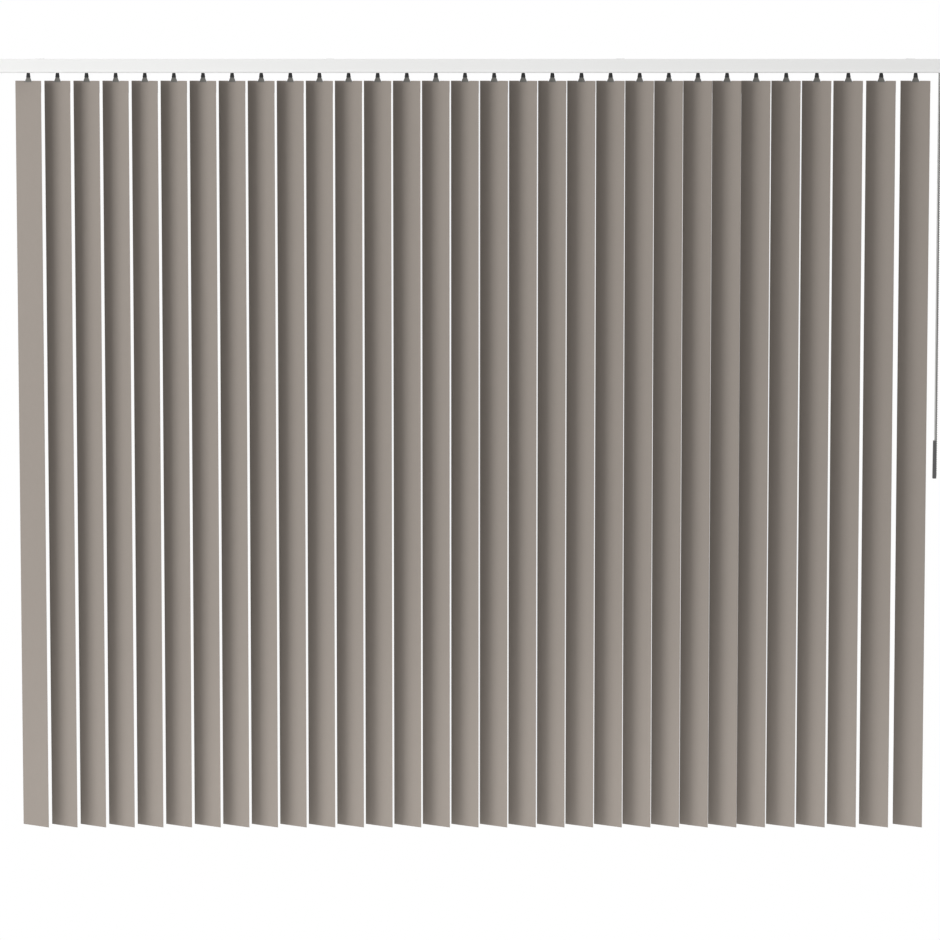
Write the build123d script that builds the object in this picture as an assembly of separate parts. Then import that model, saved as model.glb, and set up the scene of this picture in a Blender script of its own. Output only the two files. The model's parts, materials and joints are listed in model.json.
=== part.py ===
from build123d import *

import math
import os

# A vertical blind: an aluminium headrail clipped under the ceiling, upright fabric vanes hanging from
# carrier trucks inside it, a tilt rod worked by a bead chain, and a draw cord loop.
# Millimetres. X runs along the rail, -Y is the room side, +Z is up. The origin is on the ceiling plane,
# half way between the two inner bracket screws.

# Driving dimensions: the blind as a whole
BLIND_WIDTH = 2500.0
VANE_PITCH = 76.25
FIRST_VANE_INSET = 76.2
REST_ANGLE = 35.6

# The last few carriers stand wider apart, each gap a little more than the one before it
WIDE_GAPS = 5
WIDE_GAP_BASE = 2.0
WIDE_GAP_GROWTH = 0.48

# Headrail section
RAIL_WIDTH = 45.0
RAIL_HEIGHT = 36.4
RAIL_WALL = 1.3
RAIL_LEDGE = 1.4
RAIL_SLOT = 13.0
LIP_OPENING = 30.0
CHANNEL_DEPTH = 4.0
BEAD_OUT = 0.9
BEAD_TOP = 8.5
BEAD_FULL = 5.0
BEAD_RADIUS = 3.2

# Ceiling brackets
BRACKET_COUNT = 4
BRACKET_INSET = 110.0
BRACKET_T = 1.2
BRACKET_LENGTH = 20.0
BRACKET_WIDTH = 38.0
BRACKET_HOLE_R = 2.3
CLIP_GAP = 0.2

# Vanes and their hangers
VANE_WIDTH = 89.0
VANE_DROP = 1979.0
VANE_T = 0.6
VANE_GAP = 20.4
HANGER_T = 1.2
HANGER_BAR = 72.0
HANGER_BAR_DROP = 24.0
HANGER_SHOULDER = 11.5
HANGER_SHOULDER_DROP = 5.0
NECK_WIDTH = 6.0
NECK_HEAD = 15.0
HANGER_FOOT_RISE = 1.6

# Stems: a worm wheel, a journal with two flats and a pair of jaws
WHEEL_TEETH = 6
WHEEL_TIP_R = 5.9
WHEEL_ROOT_R = 4.4
WHEEL_HEIGHT = 8.0
JOURNAL_R = 4.0
JOURNAL_FLATS = 2.8
JAW_TOP_WIDTH = 7.6
JAW_FOOT_WIDTH = 12.4
JAW_WALL = 1.6
JAW_FOOT_RISE = 8.5

# Carrier trucks
TRUCK_LENGTH = 20.0
TRUCK_SIDE_GAP = 0.7
TRUCK_FLOOR = 3.0
CHEEK_T = 2.4
CHEEK_HEIGHT = 9.3
KEYHOLE_SIDES = 6
POST_WIDTH = 4.8
POST_RISE = 3.0

# Spacer links between the trucks
LINK_T = 0.6
LINK_WIDTH = 5.0
LINK_LANE_GAP = 1.0
LINK_LIP = 2.0

# Tilt rod, worms and the bead chain's sprocket
ROD_ACROSS_FLATS = 4.2
WORM_SIDES = 6
WORM_R = 3.3
WORM_END_GAP = 0.2
CHAIN_D = 4.5
CHAIN_BEND_R = 9.0
SPROCKET_RIM_R = 11.0
SPROCKET_RIM_HALF = 4.4
SPROCKET_GROOVE_HALF = 3.2
SPROCKET_JOURNAL_R = 4.0
SPROCKET_FLATS = 4.4
SPROCKET_SIDES = 16
SPROCKET_INSET = 28.5

# The bead chain's free loop, which bellies out at the back, and its connector
CHAIN_BELLY = 30.0
CHAIN_BELLY_RISE = 34.0
CHAIN_JOIN_RISE = 78.0
CONNECTOR_Z = -690.0
CONNECTOR_LENGTH = 12.0
CONNECTOR_WIDTH = 5.6

# Draw cord, its pulleys and its weight
CORD_D = 1.8
CORD_SIDES = 5
CORD_BEND_R = 4.5
CORD_FRONT_Y = -15.5
CORD_DROP_INSET = 34.2
CORD_Z = -19.0
PULLEY_HALF = 4.0
PULLEY_FLANGE = 1.6
PULLEY_RIM_R = 5.8
PULLEY_SIDES = 12
PIN_R = 1.5
PIN_FLATS = 1.8
WEIGHT_WIDTH = 8.0
WEIGHT_DEPTH = 16.0
WEIGHT_HEIGHT = 100.0
WEIGHT_CORNER = 2.4
WEIGHT_TAPER = 0.4
WEIGHT_WALL = 1.6
WEIGHT_LID = 3.0
WEIGHT_CHAMBER = 26.0
WEIGHT_BOTTOM_Z = -1104.0

# End caps and the housings behind them
CAP_T = 3.0
HOUSING_WALL = 2.5
HOUSING_SIDE_GAP = 0.3
CONTROL_HOUSING = 57.0
RETURN_HOUSING = 26.0
RETURN_PULLEY_INSET = 14.0
ROD_END_GAP = 0.5
BORE_SIDES = 8

# Clearances
RUNNING_FIT = 0.06
THRUST_GAP = 0.1
CORD_GAP = 0.3
SLIDE_GAP = 0.3
MESH_GAP = 0.1
SOCKET_GAP = 0.05

# Heights that follow from the driving dimensions
RAIL_TOP_Z = -BRACKET_T
RAIL_BOTTOM_Z = RAIL_TOP_Z - RAIL_HEIGHT
LIP_BOTTOM_Z = RAIL_TOP_Z - RAIL_WALL
WEB_TOP_Z = LIP_BOTTOM_Z - CHANNEL_DEPTH
WEB_BOTTOM_Z = WEB_TOP_Z - RAIL_WALL
LEDGE_TOP_Z = RAIL_BOTTOM_Z + RAIL_LEDGE
TRUCK_FLOOR_Z = LEDGE_TOP_Z + TRUCK_FLOOR
CHEEK_TOP_Z = TRUCK_FLOOR_Z + CHEEK_HEIGHT
WHEEL_BOTTOM_Z = TRUCK_FLOOR_Z + THRUST_GAP
VANE_TOP_Z = RAIL_BOTTOM_Z - VANE_GAP

# Widths that follow
HALF_RAIL = RAIL_WIDTH / 2
CAVITY_HALF = HALF_RAIL - RAIL_WALL
HOUSING_HALF = CAVITY_HALF - HOUSING_SIDE_GAP

# Places along the rail, each set in from its end
RAIL_END_X = BLIND_WIDTH / 2 - CAP_T
FIRST_VANE_X = FIRST_VANE_INSET - RAIL_END_X
SPROCKET_X = RAIL_END_X - SPROCKET_INSET
CORD_DROP_X = RAIL_END_X - CORD_DROP_INSET
RETURN_PULLEY_X = RETURN_PULLEY_INSET - RAIL_END_X
BRACKET_SPACING = (BLIND_WIDTH - 2 * BRACKET_INSET) / (BRACKET_COUNT - 1)

# As many vanes as the rail has room for, up to the control housing
WIDE_GAP_EXTRAS = [WIDE_GAP_BASE + WIDE_GAP_GROWTH * step**2 for step in range(1, WIDE_GAPS + 1)]
LAST_VANE_LIMIT = RAIL_END_X - CONTROL_HOUSING - TRUCK_LENGTH / 2 - sum(WIDE_GAP_EXTRAS)
VANE_COUNT = 1 + int((LAST_VANE_LIMIT - FIRST_VANE_X) / VANE_PITCH)

# The tilt rod lies beside the worm wheels, at half their height
ROD_Y = WHEEL_TIP_R + WORM_R + MESH_GAP
ROD_Z = WHEEL_BOTTOM_Z + WHEEL_HEIGHT / 2
ROD_CORNER_R = ROD_ACROSS_FLATS / math.sqrt(3)

# The draw cord's two runs, one pulley's width apart
CORD_REAR_Y = CORD_FRONT_Y + 2 * CORD_BEND_R
CORD_MID_Y = (CORD_FRONT_Y + CORD_REAR_Y) / 2
PULLEY_FLOOR_R = CORD_BEND_R - CORD_D / 2 - CORD_GAP
WEIGHT_PIN_R = PULLEY_FLOOR_R
LEDGE_CUT_X = RAIL_END_X - CONTROL_HOUSING + HOUSING_WALL


def vane_places():
    """X of each stem: even pitches, then gaps that grow towards the control end."""
    even = VANE_COUNT - 1 - WIDE_GAPS
    places = [FIRST_VANE_X]
    for extra in even * [0.0] + WIDE_GAP_EXTRAS:
        places.append(places[-1] + VANE_PITCH + extra)
    return places


def box(x0, x1, y0, y1, z0, z1):
    """A block between three pairs of planes."""
    centre = Pos((x0 + x1) / 2, (y0 + y1) / 2, (z0 + z1) / 2)
    return centre * Box(x1 - x0, y1 - y0, z1 - z0)


def flatted_rod(axis, x, y, z, radius, flats, length):
    """A round bar about a point, along X, Y or Z, with two flats along it."""
    turn = {"X": Rot(0, 90, 0), "Y": Rot(90, 0, 0), "Z": Rot(0, 0, 0)}[axis]
    return Pos(x, y, z) * turn * (Cylinder(radius, length) & Box(flats, 3 * radius, length))


def polygon_along(axis, x, y, z, radius, sides, length, outside=False):
    """A regular prism about a point. The radius is to its corners, or to its flats where it is a bore."""
    face = RegularPolygon(radius, sides, major_radius=not outside)
    prism = extrude(face, amount=length / 2, both=True)
    turn = {"X": Plane.YZ, "Y": Plane.XZ, "Z": Plane.XY}[axis].location
    return Pos(x, y, z) * turn * prism


def prism_along_x(points, x0, x1):
    """A closed outline of (y, z) points, drawn out along X."""
    face = make_face(Polyline(*points, close=True))
    return extrude(Plane.YZ.offset(x0) * face, amount=x1 - x0)


def hexagon_bar(across_flats, x0, x1):
    """A hexagonal bar on the tilt rod's axis."""
    face = RegularPolygon(across_flats / 2, 6, major_radius=False)
    return extrude(Plane.YZ.offset(x0) * Pos(ROD_Y, ROD_Z) * face, amount=x1 - x0)


def one_solid(shape):
    """The only solid of a finished piece."""
    solids = shape.solids()
    assert len(solids) == 1, f"{len(solids)} solids"
    return solids[0]


def rail_outline():
    """The right half of the rail's outer outline, from the top down to the slot."""
    return [
        (HALF_RAIL, RAIL_TOP_Z),
        (HALF_RAIL, RAIL_BOTTOM_Z + BEAD_TOP),
        (HALF_RAIL + BEAD_OUT, RAIL_BOTTOM_Z + BEAD_FULL),
        (HALF_RAIL + BEAD_OUT, RAIL_BOTTOM_Z),
    ]


def mirrored(points):
    """The same points on the other side of the rail, in the order that closes the outline."""
    return [(-y, z) for y, z in reversed(points)]


def round_bead(face):
    """Round the two lower corners of a rail section."""
    lowest = face.vertices().group_by(Axis.Y)[0].sort_by(Axis.X)
    return fillet([lowest[0], lowest[-1]], BEAD_RADIUS)


def headrail():
    """The extruded rail: a channel above for the brackets and one below for the trucks."""
    slot = RAIL_SLOT / 2
    lip = LIP_OPENING / 2
    right = rail_outline() + [
        (slot, RAIL_BOTTOM_Z),
        (slot, LEDGE_TOP_Z),
        (CAVITY_HALF, LEDGE_TOP_Z),
        (CAVITY_HALF, WEB_BOTTOM_Z),
    ]
    channel = [
        (-lip, RAIL_TOP_Z),
        (-lip, LIP_BOTTOM_Z),
        (-CAVITY_HALF, LIP_BOTTOM_Z),
        (-CAVITY_HALF, WEB_TOP_Z),
    ]
    points = right + mirrored(right) + channel + mirrored(channel)
    face = round_bead(make_face(Polyline(*points, close=True)))
    rail = extrude(Plane.YZ.offset(-RAIL_END_X) * face, amount=2 * RAIL_END_X)
    # the ledges are milled away over the control end, where the chain and the cord come down
    opening = box(
        LEDGE_CUT_X, RAIL_END_X, -HOUSING_HALF, HOUSING_HALF, RAIL_BOTTOM_Z, LEDGE_TOP_Z
    )
    return rail - opening


def ceiling_bracket():
    """A pressed clip: a plate on the rail's lips, with two legs turned out under them."""
    half = BRACKET_WIDTH / 2
    leg = LIP_OPENING / 2 - CLIP_GAP
    inner = leg - BRACKET_T
    foot_z = LIP_BOTTOM_Z - BRACKET_T
    right = [
        (half, 0),
        (half, -BRACKET_T),
        (leg, -BRACKET_T),
        (leg, LIP_BOTTOM_Z),
        (half, LIP_BOTTOM_Z),
        (half, foot_z),
        (inner, foot_z),
        (inner, -BRACKET_T),
    ]
    clip = prism_along_x(right + mirrored(right), -BRACKET_LENGTH / 2, BRACKET_LENGTH / 2)
    return clip - Cylinder(BRACKET_HOLE_R, 4 * BRACKET_T)


def bracket_places():
    """X of each bracket, evenly spaced about the middle."""
    first = -BRACKET_SPACING * (BRACKET_COUNT - 1) / 2
    return [first + BRACKET_SPACING * i for i in range(BRACKET_COUNT)]


def vane_sheet():
    """One flat stiffened fabric slat, in front of its hanger, before it is turned to its angle."""
    front = -HANGER_T / 2
    half = VANE_WIDTH / 2
    return box(-half, half, front - VANE_T, front, VANE_TOP_Z - VANE_DROP, VANE_TOP_Z)


def vane_hanger():
    """The flat hanger: a bar across the back of the slat and a tapering neck above it."""
    bar, neck = HANGER_BAR / 2, NECK_WIDTH / 2
    right = [
        (neck, NECK_HEAD),
        (HANGER_SHOULDER, -HANGER_FOOT_RISE),
        (bar, -HANGER_SHOULDER_DROP),
        (bar, -HANGER_BAR_DROP),
    ]
    outline = make_face(Polyline(*(right + mirrored(right)), close=True))
    plate = extrude(Plane.XZ.offset(-HANGER_T / 2) * outline, amount=HANGER_T)
    return Pos(0, 0, VANE_TOP_Z) * plate


def worm_wheel():
    """The wheel at the stem's head, its teeth drawn as plain points."""
    steps = range(2 * WHEEL_TEETH)
    radii = [WHEEL_ROOT_R if i % 2 else WHEEL_TIP_R for i in steps]
    turns = [math.pi * i / WHEEL_TEETH for i in steps]
    rim = [(r * math.cos(a), r * math.sin(a)) for r, a in zip(radii, turns)]
    face = make_face(Polyline(*rim, close=True))
    return extrude(Plane.XY.offset(WHEEL_BOTTOM_Z) * face, amount=WHEEL_HEIGHT)


def stem():
    """Worm wheel, journal with two flats and the jaws that hold the hanger's neck."""
    jaw_top_z = RAIL_BOTTOM_Z - SLIDE_GAP
    jaw_foot_z = VANE_TOP_Z + JAW_FOOT_RISE
    depth = HANGER_T + 2 * JAW_WALL
    journal_height = WHEEL_BOTTOM_Z - jaw_top_z
    journal_z = jaw_top_z + journal_height / 2
    journal = flatted_rod("Z", 0, 0, journal_z, JOURNAL_R, JOURNAL_FLATS, journal_height)
    right = [(JAW_TOP_WIDTH / 2, jaw_top_z), (JAW_FOOT_WIDTH / 2, jaw_foot_z)]
    outline = make_face(Polyline(*(right + mirrored(right)), close=True))
    jaws = extrude(Plane.XZ.offset(-depth / 2) * outline, amount=depth)
    slot_half = HANGER_T / 2
    reach = JAW_FOOT_WIDTH
    slot = box(-reach, reach, -slot_half, slot_half, jaw_foot_z, VANE_TOP_Z + NECK_HEAD)
    return one_solid(worm_wheel() + journal + (jaws - slot))


def truck():
    """A carrier truck: a floor that slides on the ledges and two cheeks that trap the worm."""
    half = TRUCK_LENGTH / 2
    side = CAVITY_HALF - TRUCK_SIDE_GAP
    cheek = half - CHEEK_T
    body = box(-half, half, -side, side, LEDGE_TOP_Z, CHEEK_TOP_Z)
    body -= box(-cheek, cheek, -side, side, TRUCK_FLOOR_Z, CHEEK_TOP_Z)
    # the rod drops into a notch in both cheeks
    notch = ROD_CORNER_R + SLIDE_GAP
    body -= box(-half, half, ROD_Y - notch, ROD_Y + notch, ROD_Z - notch, CHEEK_TOP_Z)
    # a keyhole: the journal passes the throat with its flats in line, and turns in the bore
    throat = JOURNAL_FLATS / 2 + SLIDE_GAP / 2
    bore = JOURNAL_R + RUNNING_FIT
    body -= polygon_along("Z", 0, 0, TRUCK_FLOOR_Z, bore, KEYHOLE_SIDES, 4 * TRUCK_FLOOR, outside=True)
    body -= box(-throat, throat, -side, 0, LEDGE_TOP_Z, TRUCK_FLOOR_Z)
    return body


def lead_truck():
    """The truck that the draw cord pulls, with a post that the cord's two ends are fixed to."""
    half = TRUCK_LENGTH / 2
    front = CORD_REAR_Y - POST_WIDTH / 2
    post = box(-half, CHEEK_T - half, front, front + POST_WIDTH, CHEEK_TOP_Z, CORD_Z + POST_RISE)
    return one_solid(truck() + post)


def worm():
    """A worm between the cheeks, keyed to the rod and free to slide along it."""
    half = TRUCK_LENGTH / 2 - CHEEK_T - WORM_END_GAP
    sleeve = polygon_along("X", 0, ROD_Y, ROD_Z, WORM_R, WORM_SIDES, 2 * half)
    return sleeve - hexagon_bar(ROD_ACROSS_FLATS + 2 * SOCKET_GAP, -half, half)


def spacer_link(lane):
    """A strip fixed on one truck, with a lip beyond the next one that stops them parting further."""
    places = vane_places()
    widest = max(b - a for a, b in zip(places, places[1:]))
    near = -TRUCK_LENGTH / 2
    far = widest + TRUCK_LENGTH / 2 + SOCKET_GAP
    front = -CAVITY_HALF + 2 * TRUCK_SIDE_GAP + lane * (LINK_WIDTH + LINK_LANE_GAP)
    top = CHEEK_TOP_Z + LINK_T
    foot = CHEEK_TOP_Z - LINK_LIP
    points = [
        (near, top),
        (far + LINK_T, top),
        (far + LINK_T, foot),
        (far, foot),
        (far, CHEEK_TOP_Z),
        (near, CHEEK_TOP_Z),
    ]
    face = make_face(Polyline(*points, close=True))
    return extrude(Plane.XZ.offset(-front) * face, amount=-LINK_WIDTH)


def cap(x0, x1):
    """An end cap: a plate with the rail's own outline."""
    right = rail_outline()
    face = round_bead(make_face(Polyline(*(right + mirrored(right)), close=True)))
    return extrude(Plane.YZ.offset(x0) * face, amount=x1 - x0)


def pulley(axis, x, y, z):
    """A cord pulley: a core between two flanges, bored for its pin."""
    core = polygon_along("Z", 0, 0, 0, PULLEY_FLOOR_R, PULLEY_SIDES, 2 * PULLEY_HALF)
    for side in (-1, 1):
        middle = side * (PULLEY_HALF - PULLEY_FLANGE / 2)
        core += polygon_along("Z", 0, 0, middle, PULLEY_RIM_R, PULLEY_SIDES, PULLEY_FLANGE)
    bore = PIN_R + RUNNING_FIT
    wheel = core - polygon_along("Z", 0, 0, 0, bore, BORE_SIDES, 4 * PULLEY_HALF, outside=True)
    turn = {"Y": Rot(90, 0, 0), "Z": Rot(0, 0, 0)}[axis]
    return Pos(x, y, z) * turn * wheel


def control_housing():
    """The frame inside the rail's right end that carries the sprocket and the two cord pulleys."""
    near = RAIL_END_X - CONTROL_HOUSING
    far = RAIL_END_X
    half = HOUSING_HALF
    top = WEB_BOTTOM_Z
    low = LEDGE_TOP_Z
    wall = HOUSING_WALL
    bearing_x = SPROCKET_X + SPROCKET_RIM_HALF + 2 * SLIDE_GAP
    partition_y = CORD_REAR_Y + PULLEY_HALF + SLIDE_GAP
    front_wall = CORD_FRONT_Y - PULLEY_HALF - SLIDE_GAP
    sprocket_near = SPROCKET_X - SPROCKET_RIM_HALF
    body = box(near, far, -half, half, top - wall, top)
    body += box(near, near + wall, -half, half, low, top)
    body += box(far - wall, far, -half, half, low, top)
    body += box(near, far, -half, front_wall, low, top)
    body += box(near, sprocket_near - 2 * SLIDE_GAP, partition_y, partition_y + wall, low, top)
    body += box(bearing_x, bearing_x + wall, partition_y, half, low, top)
    journal = SPROCKET_JOURNAL_R + RUNNING_FIT
    rod = ROD_CORNER_R + SLIDE_GAP
    for x, r in ((bearing_x + wall / 2, journal), (near + wall / 2, rod)):
        body -= polygon_along("X", x, ROD_Y, ROD_Z, r, BORE_SIDES, 2 * wall, outside=True)
    window = 2 * CORD_D
    body -= box(
        near, near + wall, CORD_FRONT_Y - window, CORD_REAR_Y + window, CORD_Z - window, CORD_Z + window
    )
    body -= cord_pulley_pin()
    return one_solid(body)


def cord_pulley_pin():
    """The pin through the two cord pulleys at the control end, with flats that keep it from turning."""
    front = -HOUSING_HALF
    rear = CORD_REAR_Y + PULLEY_HALF + SLIDE_GAP + HOUSING_WALL
    x, z = CORD_DROP_X - CORD_BEND_R, CORD_Z - CORD_BEND_R
    return flatted_rod("Y", x, (front + rear) / 2, z, PIN_R, PIN_FLATS, rear - front)


def return_shelf_z():
    """Top and bottom of the two shelves that hold the return pulley's pin."""
    upper = CORD_Z + PULLEY_HALF + SLIDE_GAP
    lower = CORD_Z - PULLEY_HALF - SLIDE_GAP
    return upper, lower


def return_pulley_pin():
    """The upright pin of the return pulley."""
    upper, lower = return_shelf_z()
    low, high = lower - HOUSING_WALL, upper + HOUSING_WALL
    middle = (low + high) / 2
    return flatted_rod("Z", RETURN_PULLEY_X, CORD_MID_Y, middle, PIN_R, PIN_FLATS, high - low)


def return_housing():
    """The frame inside the rail's left end, with the return pulley's shelves and the rod's bearing."""
    far = -RAIL_END_X
    near = far + RETURN_HOUSING
    half = HOUSING_HALF
    wall = HOUSING_WALL
    upper, lower = return_shelf_z()
    shelf_rear = CORD_MID_Y + PULLEY_RIM_R
    body = box(far, far + wall, -half, half, LEDGE_TOP_Z, WEB_BOTTOM_Z)
    body += box(far, near, -half, shelf_rear, upper, WEB_BOTTOM_Z)
    body += box(far, near, -half, shelf_rear, lower - wall, lower)
    bearing_half = ROD_CORNER_R + wall
    body += box(
        far,
        far + 3 * wall,
        ROD_Y - bearing_half,
        ROD_Y + bearing_half,
        LEDGE_TOP_Z,
        ROD_Z + bearing_half,
    )
    bore = ROD_CORNER_R + RUNNING_FIT
    body -= polygon_along("X", far + 3 * wall, ROD_Y, ROD_Z, bore, BORE_SIDES, 4 * wall, outside=True)
    return one_solid(body - return_pulley_pin())


def chain_sprocket():
    """The sprocket on the rod's end: a grooved wheel, a hexagonal socket and a journal."""
    floor_r = CHAIN_BEND_R - CHAIN_D / 2 - CORD_GAP
    flange = SPROCKET_RIM_HALF - SPROCKET_GROOVE_HALF
    at = (ROD_Y, ROD_Z)
    wheel = polygon_along("X", SPROCKET_X, *at, floor_r, SPROCKET_SIDES, 2 * SPROCKET_RIM_HALF)
    for side in (-1, 1):
        middle = SPROCKET_X + side * (SPROCKET_RIM_HALF - flange / 2)
        wheel += polygon_along("X", middle, *at, SPROCKET_RIM_R, SPROCKET_SIDES, flange)
    near = SPROCKET_X + SPROCKET_RIM_HALF
    length = 2 * SLIDE_GAP + HOUSING_WALL
    journal_x = near + length / 2
    wheel += flatted_rod("X", journal_x, *at, SPROCKET_JOURNAL_R, SPROCKET_FLATS, length)
    socket = ROD_ACROSS_FLATS + 2 * SOCKET_GAP
    return wheel - hexagon_bar(socket, SPROCKET_X - SPROCKET_RIM_HALF, SPROCKET_X)


def tilt_rod():
    """The hexagonal rod from the return end's bearing into the sprocket's socket."""
    return hexagon_bar(
        ROD_ACROSS_FLATS,
        -RAIL_END_X + HOUSING_WALL + ROD_END_GAP,
        SPROCKET_X - SOCKET_GAP,
    )


def weight_top():
    """Height of the cord weight's upper face."""
    return WEIGHT_BOTTOM_Z + WEIGHT_HEIGHT


def weight_turn_z():
    """Height of the pin that the draw cord turns round inside the weight."""
    return weight_top() - WEIGHT_LID - WEIGHT_CHAMBER / 2


def weight_pin():
    """The cross pin in the weight."""
    span = WEIGHT_WIDTH - WEIGHT_WALL
    z = weight_turn_z()
    return polygon_along("X", CORD_DROP_X, CORD_MID_Y, z, WEIGHT_PIN_R, PULLEY_SIDES, span)


def weight_section():
    """The weight's outline from above: a bar with its corners cut."""
    outline = Rectangle(WEIGHT_WIDTH, WEIGHT_DEPTH)
    return chamfer(outline.vertices(), WEIGHT_CORNER)


def cord_weight():
    """The weight: a bar that widens downwards, hollow at its top for the cord."""
    top = weight_top() - WEIGHT_LID
    height = WEIGHT_HEIGHT - WEIGHT_LID
    bar = extrude(weight_section(), amount=-height, taper=-WEIGHT_TAPER)
    body = Pos(CORD_DROP_X, CORD_MID_Y, top) * bar
    across = CORD_D / 2 + CORD_GAP
    along = CORD_BEND_R + CORD_D / 2 + CORD_GAP
    body -= box(
        CORD_DROP_X - across,
        CORD_DROP_X + across,
        CORD_MID_Y - along,
        CORD_MID_Y + along,
        top - WEIGHT_CHAMBER,
        top,
    )
    return one_solid(body - weight_pin())


def weight_cap():
    """The weight's lid, with a hole for each strand of the cord."""
    lid = Pos(CORD_DROP_X, CORD_MID_Y, weight_top()) * extrude(weight_section(), amount=-WEIGHT_LID)
    hole = CORD_D / 2 + CORD_GAP
    for y in (CORD_FRONT_Y, CORD_REAR_Y):
        lid -= polygon_along(
            "Z", CORD_DROP_X, y, weight_top(), hole, BORE_SIDES, 4 * WEIGHT_LID, outside=True
        )
    return lid


def arc_radius(before, corner, after, share=0.45):
    """The arc at a corner of a cord's route: as large as the shorter of its two runs allows."""
    first, second = corner - before, after - corner
    half_turn = math.radians(first.get_angle(second)) / 2
    return share * min(first.length, second.length) / math.tan(half_turn)


def tube(name, points, radii, diameter):
    """A cord along straight runs joined by tangent arcs. Prints the radii and compares volumes."""
    path = FilletPolyline(*points, radius=radii)
    start = Plane(origin=path @ 0, z_dir=path % 0)
    area_radius = diameter / 2
    section = start * RegularPolygon(area_radius, CORD_SIDES)
    body = sweep(section, path=path)
    expected = section.area * path.length
    print(name, "radii", [round(r, 2) for r in radii])
    print(name, "length", round(path.length, 1), "volume share", round(body.volume / expected, 5))
    return body


def draw_cord():
    """The draw cord: from the lead truck's post round both ends of the rail and the weight."""
    post_left = vane_places()[0] - TRUCK_LENGTH / 2
    turn_x = RETURN_PULLEY_X - CORD_BEND_R
    low = weight_turn_z() - CORD_BEND_R
    points = [
        Vector(post_left + CHEEK_T, CORD_REAR_Y, CORD_Z),
        Vector(CORD_DROP_X, CORD_REAR_Y, CORD_Z),
        Vector(CORD_DROP_X, CORD_REAR_Y, low),
        Vector(CORD_DROP_X, CORD_FRONT_Y, low),
        Vector(CORD_DROP_X, CORD_FRONT_Y, CORD_Z),
        Vector(turn_x, CORD_FRONT_Y, CORD_Z),
        Vector(turn_x, CORD_REAR_Y, CORD_Z),
        Vector(post_left, CORD_REAR_Y, CORD_Z),
    ]
    bend = CORD_BEND_R - SOCKET_GAP / 2
    radii = [CORD_BEND_R, bend, bend, CORD_BEND_R, bend, bend]
    return tube("draw_cord", points, radii, CORD_D)


def tilt_chain():
    """The bead chain as a plain tube: up the front, over the sprocket and down the back."""
    bottom = WEIGHT_BOTTOM_Z + CHAIN_D / 2
    front, rear = ROD_Y - CHAIN_BEND_R, ROD_Y + CHAIN_BEND_R
    top = ROD_Z + CHAIN_BEND_R
    belly = front + CHAIN_BELLY
    half_connector = CONNECTOR_LENGTH / 2
    places = [
        (rear, CONNECTOR_Z - half_connector),
        (rear, bottom + CHAIN_JOIN_RISE),
        (belly, bottom + CHAIN_BELLY_RISE),
        (belly, bottom),
        (front, bottom),
        (front, top),
        (rear, top),
        (rear, CONNECTOR_Z + half_connector),
    ]
    points = [Vector(SPROCKET_X, y, z) for y, z in places]
    corners = zip(points, points[1:], points[2:])
    radii = [arc_radius(*corner) for corner in corners]
    # over the sprocket the arc is the sprocket's
    radii[-2:] = [CHAIN_BEND_R - SOCKET_GAP / 2] * 2
    return tube("tilt_chain", points, radii, CHAIN_D)


def chain_connector():
    """The clip that closes the bead chain."""
    x, y, half = SPROCKET_X, ROD_Y + CHAIN_BEND_R, CONNECTOR_WIDTH / 2
    z0, z1 = CONNECTOR_Z - CONNECTOR_LENGTH / 2, CONNECTOR_Z + CONNECTOR_LENGTH / 2
    return box(x - half, x + half, y - half, y + half, z0, z1)


def vane(x):
    """One vane with its hanger and stem, turned to the rest angle about the stem's axis."""
    place = Pos(x, 0, 0) * Rot(0, 0, -REST_ANGLE)
    pieces = [vane_sheet(), vane_hanger(), stem()]
    return Compound([place * one_solid(piece) for piece in pieces])


def row(piece, places):
    """Copies of one piece at several places along the rail."""
    return Compound([Pos(x, 0, 0) * one_solid(piece) for x in places])


def model():
    """Every node of the blind by name."""
    places = vane_places()
    links = [Pos(x, 0, 0) * one_solid(spacer_link(i % 2)) for i, x in enumerate(places[:-1])]
    pulley_x, pulley_z = CORD_DROP_X - CORD_BEND_R, CORD_Z - CORD_BEND_R
    nodes = {
        "headrail": headrail(),
        "ceiling_brackets": row(ceiling_bracket(), bracket_places()),
        "lead_truck": Pos(places[0], 0, 0) * lead_truck(),
        "carrier_trucks": row(truck(), places[1:]),
        "spacer_links": Compound(links),
        "tilt_rod": tilt_rod(),
        "tilt_worms": row(worm(), places),
        "chain_sprocket": chain_sprocket(),
        "tilt_chain": tilt_chain(),
        "chain_connector": chain_connector(),
        "control_end_cap": cap(RAIL_END_X, RAIL_END_X + CAP_T),
        "control_housing": control_housing(),
        "front_cord_pulley": pulley("Y", pulley_x, CORD_FRONT_Y, pulley_z),
        "rear_cord_pulley": pulley("Y", pulley_x, CORD_REAR_Y, pulley_z),
        "cord_pulley_pin": cord_pulley_pin(),
        "return_end_cap": cap(-RAIL_END_X - CAP_T, -RAIL_END_X),
        "return_housing": return_housing(),
        "return_pulley": pulley("Z", RETURN_PULLEY_X, CORD_MID_Y, CORD_Z),
        "return_pulley_pin": return_pulley_pin(),
        "draw_cord": draw_cord(),
        "cord_weight": cord_weight(),
        "weight_cap": weight_cap(),
        "weight_pin": weight_pin(),
    }
    for number, x in enumerate(places, start=1):
        nodes[f"vane_{number:02d}"] = vane(x)
    return nodes


os.makedirs("parts", exist_ok=True)
for name, shape in model().items():
    export_step(shape, f"parts/{name}.step")
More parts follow.
